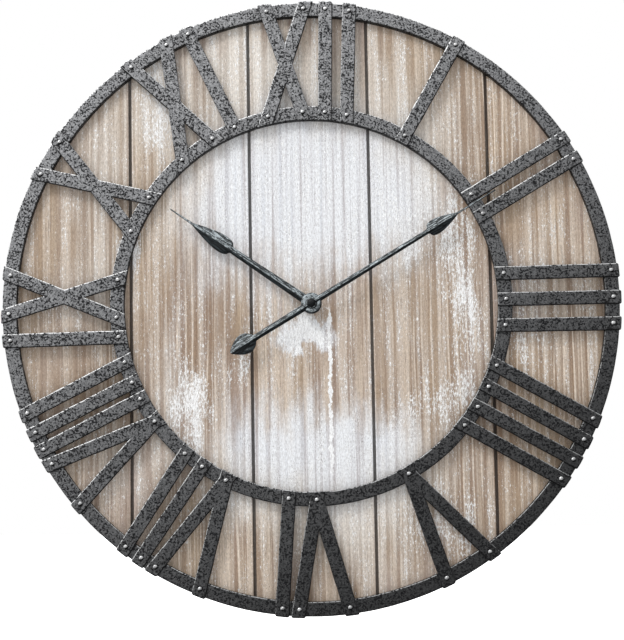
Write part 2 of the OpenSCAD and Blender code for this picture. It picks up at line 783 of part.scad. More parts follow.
module hour_hand() {
    angle = 30 * (show_hour + show_minute / 60);
    color(hand_colour) dial() rotate([0, angle, 0]) difference() {
        union() {
            plate(hour_hand_back, hand_t) circle(hub_r);
            plate(hour_hand_back, hand_t) arm(concat(
                [[0, 4.4]],
                leaf(hour_len * 0.565, hour_len * 0.84, 3.2, 10.2, 1.1),
                [[hour_len, 0.6]]
            ));
            plate(hour_hand_back - hand_t, spine_h) spine(hub_r, hour_len * 0.8);
        }
        rod([0, 0], hour_hand_back + 1, hand_t + 3, hour_bush_r);
    }
}
module minute_hand() {
    color(hand_colour) dial() rotate([0, 6 * show_minute, 0]) difference() {
        union() {
            plate(minute_hand_back, hand_t) circle(hub_r);
            plate(minute_hand_back, hand_t) arm(concat(
                [[0, 2.6]],
                leaf(minute_len * 0.63, minute_len * 0.79, 2.3, 8.2, 0.9),
                [[minute_len, 0.7]]
            ));
            plate(minute_hand_back, hand_t) rotate(180) arm(concat(
                [[0, 3.2]],
                leaf(minute_tail * 0.7, minute_tail, 3, 11.2, 0.3, 0.8)
            ));
            plate(minute_hand_back - hand_t, spine_h) spine(hub_r, minute_len * 0.76);
            plate(minute_hand_back - hand_t, spine_h) rotate(180) spine(hub_r, minute_tail * 0.72);
        }
        rod([0, 0], minute_hand_back + 1, hand_t + 3, minute_bush_r);
    }
}
module hour_bush() {
    color(hand_colour) dial() difference() {
        union() {
            bar([0, 0], hour_hand_back - hand_t - 0.4, hour_hand_back + 1.4, hour_bush_r);
            bar([0, 0], hour_hand_back, hour_hand_back + 0.8, 5.5);
        }
        bar([0, 0], hour_hand_back - 5, hour_hand_back + 5, hour_r);
    }
}
module minute_bush() {
    color(hand_colour) dial() difference() {
        union() {
            bar([0, 0], minute_hand_back - hand_t - 0.6, minute_hand_back + 1.2, minute_bush_r);
            bar([0, 0], minute_hand_back, minute_hand_back + 0.8, 4.6);
        }
        bar([0, 0], minute_hand_back - 5, minute_hand_back + 5, minute_r);
    }
}
module hand_nut() {
    back = minute_hand_back - hand_t - 0.6;
    color([0.05, 0.06, 0.07]) dial() difference() {
        union() {
            translate([0, back, 0]) rotate([90, 0, 0]) cylinder(h = 2.4, r = 4.8, $fn = 6);
            translate([0, back - 2.4, 0]) turned([[0, 0], [3.9, 0], [3.4, 0.8], [2, 1.4], [0, 1.6]]);
        }
        bar([0, 0], minute_front - 0.1, back + 1, minute_r - 0.2);
    }
}

// ---- one module for each plank, batten and numeral ----

module plank_1() {
    plank(1);
}
module plank_2() {
    plank(2);
}
module plank_3() {
    plank(3);
}
module plank_4() {
    plank(4);
}
module plank_5() {
    plank(5);
}
module upper_batten() {
    batten(1);
}
module lower_batten() {
    batten(-1);
}
module numeral_01() {
    numeral(1);
}
module numeral_02() {
    numeral(2);
}
module numeral_03() {
    numeral(3);
}
module numeral_04() {
    numeral(4);
}
module numeral_05() {
    numeral(5);
}
module numeral_06() {
    numeral(6);
}
module numeral_07() {
    numeral(7);
}
module numeral_08() {
    numeral(8);
}
module numeral_09() {
    numeral(9);
}
module numeral_10() {
    numeral(10);
}
module numeral_11() {
    numeral(11);
}
module numeral_12() {
    numeral(12);
}

plank_1();
plank_2();
plank_3();
plank_4();
plank_5();
upper_batten();
lower_batten();
batten_screws();
outer_hoop();
inner_hoop();
hoop_studs();
hoop_screws();
numeral_01();
numeral_02();
numeral_03();
numeral_04();
numeral_05();
numeral_06();
numeral_07();
numeral_08();
numeral_09();
numeral_10();
numeral_11();
numeral_12();
outer_rivets();
inner_rivets();
hanger_plate();
hanger_screws();
wall_pads();
movement_housing();
movement_cover();
middle_plate();
threaded_bush();
gasket();
washer();
hex_nut();
battery();
positive_contact();
negative_contact();
circuit_board();
chip_blob();
quartz_crystal();
stator();
coil_core();
coil_bobbin();
coil_winding();
rotor();
intermediate_wheel();
seconds_wheel();
third_wheel();
centre_wheel();
minute_arbor();
motion_wheel();
hour_wheel();
setting_knob();
hour_bush();
hour_hand();
minute_bush();
minute_hand();
hand_nut();
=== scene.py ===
"""Looks of the wall clock: worn planks, hammered iron hoops and straps, forged hands."""

import math

import bmesh
import bpy
import numpy as np
from mathutils import Matrix, Vector, noise


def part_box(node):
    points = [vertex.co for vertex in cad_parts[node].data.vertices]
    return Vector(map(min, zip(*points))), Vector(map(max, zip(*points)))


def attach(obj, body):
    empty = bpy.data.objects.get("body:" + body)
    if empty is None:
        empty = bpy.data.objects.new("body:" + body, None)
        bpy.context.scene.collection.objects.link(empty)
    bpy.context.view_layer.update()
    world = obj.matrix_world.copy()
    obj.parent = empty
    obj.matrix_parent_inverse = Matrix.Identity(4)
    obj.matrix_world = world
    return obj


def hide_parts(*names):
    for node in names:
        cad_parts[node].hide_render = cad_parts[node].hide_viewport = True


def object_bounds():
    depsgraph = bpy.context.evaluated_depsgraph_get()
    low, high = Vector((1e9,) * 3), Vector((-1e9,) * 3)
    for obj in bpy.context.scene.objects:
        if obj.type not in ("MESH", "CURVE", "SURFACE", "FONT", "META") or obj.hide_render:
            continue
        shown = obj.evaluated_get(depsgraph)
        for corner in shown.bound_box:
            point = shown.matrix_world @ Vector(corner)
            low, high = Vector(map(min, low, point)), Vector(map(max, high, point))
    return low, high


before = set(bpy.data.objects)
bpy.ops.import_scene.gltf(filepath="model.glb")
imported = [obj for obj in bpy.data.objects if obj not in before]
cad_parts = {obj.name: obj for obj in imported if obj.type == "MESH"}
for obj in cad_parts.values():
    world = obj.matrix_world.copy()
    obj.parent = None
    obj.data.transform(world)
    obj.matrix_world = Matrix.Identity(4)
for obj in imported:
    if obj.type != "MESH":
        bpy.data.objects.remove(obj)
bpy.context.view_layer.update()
MM = 0.001

# ---- places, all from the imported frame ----
nut_lo, nut_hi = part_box("hand_nut")
AXIS_Z = (nut_lo.z + nut_hi.z) / 2
WOOD_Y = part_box("plank_3")[0].y
WOOD_BACK_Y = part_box("plank_3")[1].y
HOOP_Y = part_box("outer_hoop")[0].y
LAP_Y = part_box("outer_hoop")[1].y
STRAP_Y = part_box("numeral_01")[0].y
OUTER_R = (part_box("outer_hoop")[1].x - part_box("outer_hoop")[0].x) / 2
INNER_R = (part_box("inner_hoop")[1].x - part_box("inner_hoop")[0].x) / 2
WOOD_R = (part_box("plank_3")[1].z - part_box("plank_3")[0].z) / 2
HOOP_W = 14 * MM
HOOP_T = 1.2 * MM
OUTER_RIVET_R = OUTER_R - 6.5 * MM
INNER_RIVET_R = INNER_R - 6.4 * MM

# ---- the planks ----
PITCH = 118.6 * MM
GROOVE = 3 * MM
LAP = 6 * MM
ROUND = 1.0 * MM
RIM_CLEAR = 0.3 * MM
GRAIN_PITCH = 8.5 * MM
BORE_R = 5 * MM
ON_AXIS = 0.0001 * MM

# ---------------------------------------------------------------------------
# Mesh helpers
# ---------------------------------------------------------------------------


def fbm(p, scale, octaves=3):
    """Smooth noise about zero at a point in metres."""
    return noise.fractal(Vector(p) * scale, 0.8, 2.1, octaves)


def build(name, verts, faces):
    """A new object in the scene from points and faces."""
    mesh = bpy.data.meshes.new(name)
    mesh.from_pydata([tuple(v) for v in verts], [], [tuple(f) for f in faces])
    mesh.validate()
    obj = bpy.data.objects.new(name, mesh)
    bpy.context.scene.collection.objects.link(obj)
    return obj


def tidy(obj, sharp=40.0, triangles=False):
    """Welds doubles, turns normals outward and shades smooth up to a crease angle."""
    bm = bmesh.new()
    bm.from_mesh(obj.data)
    bmesh.ops.remove_doubles(bm, verts=bm.verts, dist=1e-6)
    bmesh.ops.dissolve_degenerate(bm, edges=bm.edges, dist=1e-6)
    if triangles:
        bmesh.ops.triangulate(bm, faces=[f for f in bm.faces if len(f.verts) > 4])
    bmesh.ops.recalc_face_normals(bm, faces=bm.faces)
    bm.to_mesh(obj.data)
    bm.free()
    obj.data.polygons.foreach_set("use_smooth", [True] * len(obj.data.polygons))
    obj.data.set_sharp_from_angle(angle=math.radians(sharp))
    obj.data.update()


def dress(obj, mat, body, slot, *nodes):
    """Gives a finished piece its material, its body and the nodes it stands for."""
    obj.data.materials.clear()
    obj.data.materials.append(mat)
    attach(obj, body)
    if nodes:
        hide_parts(*nodes)
    return obj


def apply_boolean(obj, other, operation):
    """Joins or cuts the first object with the second, which is used up."""
    mod = obj.modifiers.new("cut", "BOOLEAN")
    mod.operation = operation
    mod.solver = "EXACT"
    mod.object = other
    graph = bpy.context.evaluated_depsgraph_get()
    mesh = bpy.data.meshes.new_from_object(obj.evaluated_get(graph))
    obj.modifiers.clear()
    old = obj.data
    obj.data = mesh
    bpy.data.meshes.remove(old)
    bpy.data.objects.remove(other)


def revolve(name, loop, segments, closed):
    """Turns [radius, y] points about the hands' axis. A closed loop makes a ring."""
    verts, faces = [], []
    n = len(loop)
    for k in range(segments):
        a = 2 * math.pi * k / segments
        verts += [(r * math.sin(a), y, r * math.cos(a)) for r, y in loop]
    last = n if closed else n - 1
    for k in range(segments):
        base, nxt = k * n, (k + 1) % segments * n
        for i in range(last):
            j = (i + 1) % n
            faces.append((base + i, base + j, nxt + j, nxt + i))
    if not closed:
        faces.append([k * n for k in range(segments)])
        faces.append([k * n + n - 1 for k in range(segments)][::-1])
    return build(name, verts, faces)


def on_dial(degrees=0):
    """Turns clockwise from 12 o'clock about the hands' axis, then lifts to the dial's middle."""
    return Matrix.Translation((0, 0, AXIS_Z)) @ Matrix.Rotation(math.radians(degrees), 4, "Y")


def skin(rows, n):
    """Faces between neighbouring closed rows of n points each."""
    faces = []
    for r in range(rows - 1):
        for c in range(n):
            d = (c + 1) % n
            faces.append((r * n + c, r * n + d, (r + 1) * n + d, (r + 1) * n + c))
    return faces


def hammer(obj, depth, wobble, floor_y):
    """Dents the faces in front of floor_y and makes every edge waver a little."""
    for v in obj.data.vertices:
        p = v.co.copy()
        v.co.x += wobble * fbm(p, 70)
        v.co.z += wobble * fbm(p + Vector((3, 0, 1)), 70)
        if p.y < floor_y:
            dent = 0.5 + 0.5 * fbm(p, 130, 2)
            v.co.y += depth * min(1, max(0, dent)) ** 1.5
    obj.data.update()


# ---------------------------------------------------------------------------
# Material helpers
# ---------------------------------------------------------------------------


UPPER_LEFT = (-0.34, 0.0, 0.94)


class Nodes:
    """Short calls that add and wire shader nodes."""

    def __init__(self, name):
        self.mat = bpy.data.materials.new(name)
        self.mat.use_nodes = True
        self.tree = self.mat.node_tree
        self.shader = self.tree.nodes["Principled BSDF"]
        self.coord = self.tree.nodes.new("ShaderNodeTexCoord").outputs["Object"]

    def put(self, socket, value):
        if isinstance(value, bpy.types.NodeSocket):
            self.tree.links.new(value, socket)
        elif isinstance(value, tuple) and len(value) == 3 and len(socket.default_value) == 4:
            socket.default_value = (*value, 1)
        else:
            socket.default_value = value

    def node(self, kind, **sockets):
        made = self.tree.nodes.new("ShaderNode" + kind)
        for key, value in sockets.items():
            self.put(made.inputs[key], value)
        return made

    def stretch(self, scale, offset=(0, 0, 0)):
        return self.node("Mapping", Vector=self.coord, Scale=scale, Location=offset).outputs[0]

    def noise(self, vector, scale, detail=3.0, rough=0.55, distort=0.0):
        made = self.node("TexNoise", Vector=vector, Scale=scale, Detail=detail,
                         Roughness=rough, Distortion=distort)
        return made.outputs["Fac"]

    def math(self, operation, a, b=0.0, c=0.0):
        made = self.tree.nodes.new("ShaderNodeMath")
        made.operation = operation
        for socket, value in zip(made.inputs, (a, b, c)):
            self.put(socket, value)
        return made.outputs[0]

    def add(self, a, b):
        return self.math("ADD", a, b)

    def mul(self, a, b):
        return self.math("MULTIPLY", a, b)

    def step(self, value, low, high, to_low=0.0, to_high=1.0):
        made = self.tree.nodes.new("ShaderNodeMapRange")
        made.interpolation_type = "SMOOTHSTEP"
        for key, given in (("Value", value), ("From Min", low), ("From Max", high),
                           ("To Min", to_low), ("To Max", to_high)):
            self.put(made.inputs[key], given)
        return made.outputs[0]

    def mix(self, fac, a, b, blend="MIX"):
        made = self.tree.nodes.new("ShaderNodeMix")
        made.data_type = "RGBA"
        made.blend_type = blend
        self.put(made.inputs[0], fac)
        self.put(made.inputs[6], a)
        self.put(made.inputs[7], b)
        return made.outputs[2]

    def blob(self, vector, centre, radius, soft=0.5):
        """1 inside an ellipse on the dial, in mm from the hands' axis, fading to 0 outside."""
        at = (centre[0] * MM, 0, centre[1] * MM + AXIS_Z)
        span = (1 / (radius[0] * MM), 0, 1 / (radius[1] * MM))
        moved = self.tree.nodes.new("ShaderNodeVectorMath")
        moved.operation = "SUBTRACT"
        self.put(moved.inputs[0], vector)
        moved.inputs[1].default_value = at
        scaled = self.tree.nodes.new("ShaderNodeVectorMath")
        scaled.operation = "MULTIPLY"
        self.put(scaled.inputs[0], moved.outputs[0])
        scaled.inputs[1].default_value = span
        length = self.tree.nodes.new("ShaderNodeVectorMath")
        length.operation = "LENGTH"
        self.put(length.inputs[0], scaled.outputs[0])
        return self.step(length.outputs["Value"], 1 + soft, 1 - soft)

    def facing(self):
        """How squarely a face looks to the front or back, from 0 to 1."""
        geometry = self.tree.nodes.new("ShaderNodeNewGeometry")
        split = self.node("SeparateXYZ", Vector=geometry.outputs["Normal"])
        return self.math("ABSOLUTE", split.outputs["Y"])

    def leaning(self):
        """How far a face leans to the dial's upper left, from -1 to 1."""
        geometry = self.tree.nodes.new("ShaderNodeNewGeometry")
        made = self.tree.nodes.new("ShaderNodeVectorMath")
        made.operation = "DOT_PRODUCT"
        self.put(made.inputs[0], geometry.outputs["Normal"])
        made.inputs[1].default_value = UPPER_LEFT
        return made.outputs["Value"]

    def finish(self, colour, rough, height=None, distance=0.0003, strength=0.5, metallic=0.0,
               specular=0.5):
        self.put(self.shader.inputs["Base Color"], colour)
        self.put(self.shader.inputs["Roughness"], rough)
        self.put(self.shader.inputs["Metallic"], metallic)
        self.shader.inputs["Specular IOR Level"].default_value = specular
        if height is not None:
            bump = self.node("Bump", Height=height)
            bump.inputs["Strength"].default_value = strength
            bump.inputs["Distance"].default_value = distance
            self.put(self.shader.inputs["Normal"], bump.outputs[0])
        return self.mat


# How far above and below the hands' axis the iron's painted shade runs, lighter up left and darker down
# right
SHADE_REACH = 0.36


def iron_material():
    """Grey gunmetal with dark pits; painted highlights near white on upper-left bevels, painted shade near
    black on side walls and lower-right bevels, and painted shade darker to the lower right.
    """
    n = Nodes("hammered_iron")
    mottle = n.noise(n.coord, 600, 4, 0.8)
    pits = n.noise(n.coord, 520, 2, 0.55, 0.1)
    density = n.noise(n.coord, 55, 3, 0.6)
    level = n.step(density, 0.36, 0.64, 0.585, 0.515)
    pit = n.step(n.math("SUBTRACT", pits, level), -0.004, 0.022)
    blots = n.step(n.noise(n.coord, 300, 2, 0.6, 0.2), 0.61, 0.64)
    dark = n.math("MAXIMUM", pit, blots)
    split = n.node("SeparateXYZ", Vector=n.coord)
    # Painted shade: the iron's colour runs from light up left to dark down right, as if lit from above
    slant = n.add(split.outputs["Z"], n.mul(split.outputs["X"], -0.55))
    painted_light_falloff = n.step(slant, AXIS_Z - SHADE_REACH, AXIS_Z + SHADE_REACH, 0.13, 1.1)
    plain = n.mix(n.step(mottle, 0.36, 0.64), (0.115, 0.115, 0.119), (0.36, 0.361, 0.367))
    shaded = n.mix(1.0, plain, painted_light_falloff, "MULTIPLY")
    facing = n.facing()
    lean = n.leaning()
    # Painted highlight: bevels leaning to the upper left are painted near white, fading towards the bottom
    bevel = n.mul(n.step(facing, 0.98, 0.91), n.step(facing, 0.3, 0.5))
    highlit = n.step(slant, AXIS_Z - SHADE_REACH, AXIS_Z + 0.2, 0.35, 1.0)
    upper = n.mul(n.mul(bevel, n.step(lean, 0.1, 0.45)), highlit)
    wear_and_highlight = n.mix(upper, shaded, (0.92, 0.92, 0.92))
    # Painted shade: side walls and bevels leaning to the lower right are painted near black
    under = n.mul(n.step(facing, 0.98, 0.86), n.step(lean, -0.05, -0.3))
    side = n.math("MAXIMUM", n.step(facing, 0.5, 0.25), under)
    painted_shade = n.mix(n.mul(side, 0.93), wear_and_highlight, (0.006, 0.006, 0.006))
    colour = n.mix(n.mul(dark, 0.93), painted_shade, (0.006, 0.006, 0.007))
    rough = n.math("MAXIMUM", n.step(mottle, 0.2, 0.8, 0.36, 0.6), n.mul(dark, 0.9))
    relief = n.add(n.mul(mottle, 0.4), n.mul(dark, -0.9))
    return n.finish(colour, rough, relief, 0.0004, 0.75, 0.2, 0.28)


# The paint-filled crack that runs down from the hands' axis
CRACK_X = 13.5 * MM
CRACK_SWAY = 7.5 * MM
CRACK_LENGTH = 190 * MM
CRACK_FADE = 40 * MM


def wood_material():
    """Wire-brushed softwood: pale hard grain lines, tan bands and weathered white paint."""
    n = Nodes("worn_plank")
    split = n.node("SeparateXYZ", Vector=n.coord)
    warp = n.noise(n.stretch((9, 1, 2.2)), 1.0, 2)
    bent = n.add(split.outputs["X"], n.mul(warp, 0.02))
    plank_no = n.math("FLOOR", n.add(n.mul(split.outputs["X"], 1 / PITCH), 0.5))
    tone = n.node("TexWhiteNoise", Vector=n.node("CombineXYZ", X=plank_no, Y=3.7).outputs[0])
    # hard grain: thin pale lines some 8 mm apart, strong in places and lost in others
    phase = n.add(n.mul(bent, 118), n.mul(n.noise(n.stretch((26, 1, 1.2)), 1.0, 2), 2.4))
    ridge = n.step(n.math("ABSOLUTE", n.math("SUBTRACT", n.math("FRACT", phase), 0.5)), 0.16, 0.03)
    shows = n.step(n.noise(n.stretch((18, 1, 7), (2, 0, 5)), 1.0, 2), 0.42, 0.62)
    streak = n.noise(n.stretch((190, 1, 2.6)), 1.0, 3, 0.6)
    band = n.noise(n.stretch((75, 1, 1.6), (1, 0, 3)), 1.0, 2, 0.5)
    fine = n.noise(n.stretch((900, 1, 22)), 1.0, 3, 0.65)
    broad = n.noise(n.stretch((15, 1, 4)), 1.0, 3, 0.5)
    brown = n.mix(n.step(broad, 0.36, 0.62), (0.275, 0.18, 0.115), (0.45, 0.34, 0.24))
    pink = n.mix(n.step(n.noise(n.stretch((14, 1, 5), (4, 0, 2)), 1.0, 2), 0.45, 0.7, 0.0, 0.8),
                 brown, (0.45, 0.365, 0.335))
    stripe = n.step(n.noise(n.stretch((105, 1, 0.9), (7, 0, 1)), 1.0, 2, 0.5), 0.50, 0.56)
    stripe_here = n.step(n.noise(n.stretch((9, 1, 3), (3, 0, 8)), 1.0, 2), 0.40, 0.60, 0.1, 0.75)
    belt = n.mix(n.step(band, 0.44, 0.60, 0.0, 0.55), pink, (0.285, 0.195, 0.14))
    banded = n.mix(n.mul(n.mul(ridge, shows), 0.95), belt, (0.80, 0.69, 0.58))
    striped = n.mix(n.mul(stripe, stripe_here), banded, (0.72, 0.61, 0.50))
    streaky = n.mix(n.step(streak, 0.48, 0.60, 0.0, 0.65), striped, (0.64, 0.53, 0.43))
    lined = n.mix(n.step(fine, 0.46, 0.34, 0.0, 0.6), streaky, (0.22, 0.165, 0.13))
    toned = n.mix(n.mul(tone.outputs["Value"], 0.25), lined, (0.30, 0.235, 0.185))
    # worn paint: broad whitened places, then flakes and specks that follow the grain
    ragged = n.node("TexNoise", Vector=n.stretch((30, 1, 14)), Scale=1.0, Detail=5.0,
                    Roughness=0.7)
    push = n.tree.nodes.new("ShaderNodeVectorMath")
    push.operation = "MULTIPLY_ADD"
    n.put(push.inputs[0], ragged.outputs["Color"])
    push.inputs[1].default_value = (0.05, 0.0, 0.12)
    n.put(push.inputs[2], n.node("Mapping", Vector=n.coord,
                                 Location=(-0.025, 0, -0.06)).outputs[0])
    loose = push.outputs[0]
    wash = 0.0
    for centre, radius, weight in WASHES:
        wash = n.add(n.mul(n.blob(loose, centre, radius, 0.85), weight), wash)
    thick = 0.0
    for centre, radius, weight in PATCHES:
        thick = n.add(n.mul(n.blob(loose, centre, radius, 0.6), weight), thick)
    mid = n.noise(n.stretch((90, 1, 16)), 1.0, 3, 0.6)
    flake = n.noise(n.stretch((620, 1, 230)), 1.0, 4, 0.8)
    cover = n.add(n.add(n.mul(thick, 0.155), n.mul(wash, 0.02)), n.mul(mid, 0.34))
    specks = n.step(n.add(n.add(flake, cover), n.mul(streak, 0.32)), 0.935, 0.96)
    lavender = n.mix(n.step(band, 0.4, 0.6), (0.67, 0.69, 0.73), (0.50, 0.475, 0.49))
    cool = n.mix(n.step(streak, 0.36, 0.55), lavender, (0.80, 0.815, 0.84))
    warm = n.mix(n.step(streak, 0.36, 0.60), (0.56, 0.50, 0.44), (0.76, 0.71, 0.65))
    grey = n.mix(n.blob(loose, (0, 0), (150, 195), 0.2), warm, cool)
    grain_gap = n.mul(n.math("SUBTRACT", n.add(n.mul(streak, 0.5), n.mul(mid, 0.5)), 0.5), 1.7)
    washed = n.mix(n.step(n.add(wash, grain_gap), -0.15, 1.1, 0.0, 0.95), toned, grey)
    milky = n.mix(n.mul(n.step(n.add(thick, grain_gap), 0.3, 1.3), 0.45), washed, (0.70, 0.685, 0.68))
    painted = n.mix(n.mul(specks, 0.9), milky, (0.90, 0.90, 0.90))
    # the thin crack filled with paint
    wander = n.noise(n.stretch((1, 1, 26)), 1.0, 4, 0.7)
    off = n.math("SUBTRACT", split.outputs["X"], n.add(CRACK_X, n.mul(wander, CRACK_SWAY)))
    gap = n.step(n.noise(n.stretch((60, 1, 90)), 1.0, 3, 0.7), 0.36, 0.64, 0.0003, 0.0026)
    line = n.step(n.math("SUBTRACT", n.math("ABSOLUTE", off), gap), 0.0004, -0.0002)
    crack_end = AXIS_Z - CRACK_LENGTH
    below = n.mul(n.step(split.outputs["Z"], AXIS_Z, AXIS_Z - 8 * MM),
                  n.step(split.outputs["Z"], crack_end, crack_end + CRACK_FADE))
    cracked = n.mix(n.mul(n.mul(line, below), 0.95), painted, (0.90, 0.90, 0.90))
    # fine dirt in the open grain
    pepper = n.noise(n.stretch((1000, 1, 600)), 1.0, 2, 0.7)
    dirt = n.step(n.add(pepper, n.mul(mid, 0.2)), 0.70, 0.76, 0.0, 0.55)
    colour = n.mix(dirt, cracked, (0.14, 0.105, 0.085))
    grit = n.noise(n.stretch((900, 1, 260), (0, 0, 9)), 1.0, 2, 0.8)
    shade = n.mix(n.step(grit, 0.36, 0.64), (0.81, 0.80, 0.79), (1.10, 1.10, 1.10))
    gritty = n.mix(1.0, colour, shade, "MULTIPLY")
    # Painted shade: the faces down inside the shiplap grooves are painted dark
    depth = n.math("SUBTRACT", split.outputs["Y"], WOOD_Y)
    groove_shade_mask = n.mul(n.step(depth, 0.7 * MM, 2.2 * MM), n.step(depth, 7.5 * MM, 6.8 * MM))
    groove_shaded = n.mix(n.mul(groove_shade_mask, 0.7), gritty, (0.085, 0.075, 0.07))
    rough = n.step(flake, 0.3, 0.7, 0.62, 0.85)
    relief = n.add(n.add(n.mul(streak, 0.5), n.mul(fine, 0.5)),
                   n.add(n.mul(specks, 0.35), n.mul(n.mul(ridge, shows), 0.4)))
    return n.finish(groove_shaded, rough, relief, 0.0004, 0.6, 0.0, 0.25)


# Whitened places on the dial: (x, z) of the middle and (half width, half height) in mm, weight
WASHES = [
    ((0, 150), (84, 66), 1.25),
    ((0, 85), (70, 50), 0.55),
    ((-30, 40), (60, 45), 0.35),
    ((-105, 110), (45, 70), 0.6),
    ((90, 105), (48, 60), 0.7),
    ((0, -165), (70, 50), 1.25),
    ((90, -160), (50, 40), 0.6),
    ((-70, -150), (30, 50), 0.6),
    ((-5, -33), (21, 12), 2.0),
    ((-140, -90), (16, 60), 0.4),
    ((-150, 215), (28, 45), 0.9),
    ((-60, 245), (45, 40), 1.2),
    ((30, 240), (50, 50), 0.45),
    ((120, 190), (40, 50), 0.4),
    ((40, -240), (50, 40), 0.6),
    ((-215, 20), (30, 50), 0.5),
    ((-210, 110), (30, 40), 0.4),
    ((-200, 170), (30, 40), 0.5),
    ((-190, -150), (40, 30), 0.4),
    ((230, 20), (30, 60), 0.3),
]
# Places where the paint still sits in flakes
PATCHES = [
    ((146, 40), (14, 50), 0.7),
    ((150, -40), (14, 60), 0.62),
    ((125, -100), (34, 24), 0.55),
    ((-128, -85), (12, 45), 0.9),
    ((-112, -110), (10, 40), 0.8),
    ((-72, -58), (9, 22), 0.8),
    ((-6, -34), (20, 12), 0.9),
    ((100, 75), (36, 40), 0.45),
    ((-150, 210), (22, 50), 0.6),
    ((-180, 60), (10, 20), 0.9),
    ((-30, 0), (50, 50), 0.25),
    ((120, -215), (40, 30), 0.6),
    ((210, -20), (18, 60), 0.45),
    ((-60, 235), (30, 50), 0.1),
]


def hand_material(name, angle):
    """Blue-black forged metal, filed along its length, with painted highlights on facets leaning up left
    and on front-facing flats.
    """
    n = Nodes(name)
    along = n.tree.nodes.new("ShaderNodeMapping")
    along.vector_type = "TEXTURE"
    n.put(along.inputs["Vector"], n.coord)
    along.inputs["Rotation"].default_value = (0, math.radians(angle), 0)
    along.inputs["Scale"].default_value = (1 / 900, 1 / 900, 1 / 95)
    filed = n.noise(along.outputs[0], 1.0, 4, 0.75, 0.6)
    cloud = n.noise(n.coord, 330, 3, 0.7)
    colour = n.mix(n.step(filed, 0.46, 0.62), (0.003, 0.004, 0.0045), (0.035, 0.045, 0.05))
    # Painted highlight: facets leaning to the upper left and flats facing the front are painted light grey
    facet_highlight = n.mul(n.step(n.leaning(), 0.05, 0.13), n.step(filed, 0.50, 0.60, 0.04, 1.0))
    flat = n.mul(n.step(n.facing(), 0.985, 0.995), n.step(cloud, 0.40, 0.58, 0.1, 0.8))
    highlit = n.mix(n.math("MAXIMUM", facet_highlight, flat), colour, (0.44, 0.49, 0.51))
    rough = n.step(filed, 0.3, 0.7, 0.5, 0.3)
    relief = n.add(filed, n.mul(cloud, 0.8))
    return n.finish(highlit, rough, relief, 0.0004, 0.8, 0.1, 0.3)


def plain_material(name, colour, rough, metallic=0.0, vary=0.25, grain=900.0, relief=0.0001,
                   scuffs=0.35, specular=0.5):
    """A cast, drawn or moulded finish: cloudy tone, fine grain and scuffs."""
    n = Nodes(name)
    cloud = n.noise(n.coord, 120, 3, 0.6)
    fine = n.noise(n.coord, grain, 2, 0.6)
    scuff = n.step(n.noise(n.stretch((900, 300, 90)), 1.0, 2, 0.6), 0.64, 0.70, 0.0, scuffs)
    dark = tuple(c * (1 - vary) for c in colour)
    light = tuple(min(1, c * (1 + vary) + 0.004) for c in colour)
    base = n.mix(n.step(cloud, 0.3, 0.7), dark, light)
    wear_and_highlight = n.mix(scuff, base, tuple(min(1, c * 1.5 + 0.03) for c in colour))
    edge = n.mix(n.step(n.facing(), 0.9, 0.6, 0.0, 0.1), wear_and_highlight, light)
    roughness = n.step(fine, 0.3, 0.7, rough - 0.08, rough + 0.1)
    height = n.add(n.mul(fine, 0.6), n.mul(cloud, 0.4))
    return n.finish(edge, roughness, height, relief, 0.4, metallic, specular)


def batten_material():
    """Sawn softwood with its grain along the batten."""
    n = Nodes("sawn_batten")
    streak = n.noise(n.stretch((3, 160, 160)), 1.0, 4, 0.6, 0.3)
    ring = n.noise(n.stretch((1.2, 60, 60)), 1.0, 2, 0.5, 1.0)
    saw = n.noise(n.stretch((700, 20, 20)), 1.0, 1)
    colour = n.mix(n.step(streak, 0.35, 0.65), (0.40, 0.25, 0.13), (0.60, 0.42, 0.25))
    ringed = n.mix(n.step(ring, 0.45, 0.6, 0.0, 0.5), colour, (0.33, 0.19, 0.10))
    fuzzy = n.mix(n.step(saw, 0.5, 0.75, 0.0, 0.25), ringed, (0.68, 0.52, 0.35))
    return n.finish(fuzzy, n.step(streak, 0.3, 0.7, 0.6, 0.8), n.add(streak, n.mul(saw, 0.4)),
                    0.0004, 0.5, 0.0, 0.3)


def zinc_material():
    """Zinc-plated steel with the faint crystal pattern of plating."""
    n = Nodes("zinc_plate")
    spangle = n.node("TexVoronoi", Vector=n.coord, Scale=260.0).outputs["Color"]
    shade = n.node("SeparateXYZ", Vector=spangle).outputs["X"]
    fine = n.noise(n.coord, 700, 3, 0.6)
    colour = n.mix(shade, (0.50, 0.51, 0.53), (0.68, 0.69, 0.70))
    dull = n.mix(n.step(fine, 0.55, 0.75, 0.0, 0.5), colour, (0.36, 0.36, 0.36))
    return n.finish(dull, n.step(fine, 0.3, 0.7, 0.25, 0.45), fine, 0.0001, 0.3, 0.9)


def battery_material(lo, hi):
    """A plain two-colour wrap with bare ends, no lettering."""
    n = Nodes("battery_wrap")
    along = n.node("SeparateXYZ", Vector=n.coord).outputs["X"]
    span = n.step(along, lo.x, hi.x)
    fine = n.noise(n.coord, 400, 2)
    wrap = n.mix(n.step(span, 0.70, 0.705), (0.018, 0.019, 0.022), (0.46, 0.24, 0.10))
    tinted = n.mix(n.mul(fine, 0.25), wrap, (0.2, 0.17, 0.14))
    tip = n.math("MAXIMUM", n.step(span, 0.985, 0.99), n.step(span, 0.012, 0.008))
    colour = n.mix(tip, tinted, (0.62, 0.62, 0.63))
    return n.finish(colour, n.step(fine, 0.3, 0.7, 0.2, 0.32), fine, 0.00005, 0.2, 0.4)


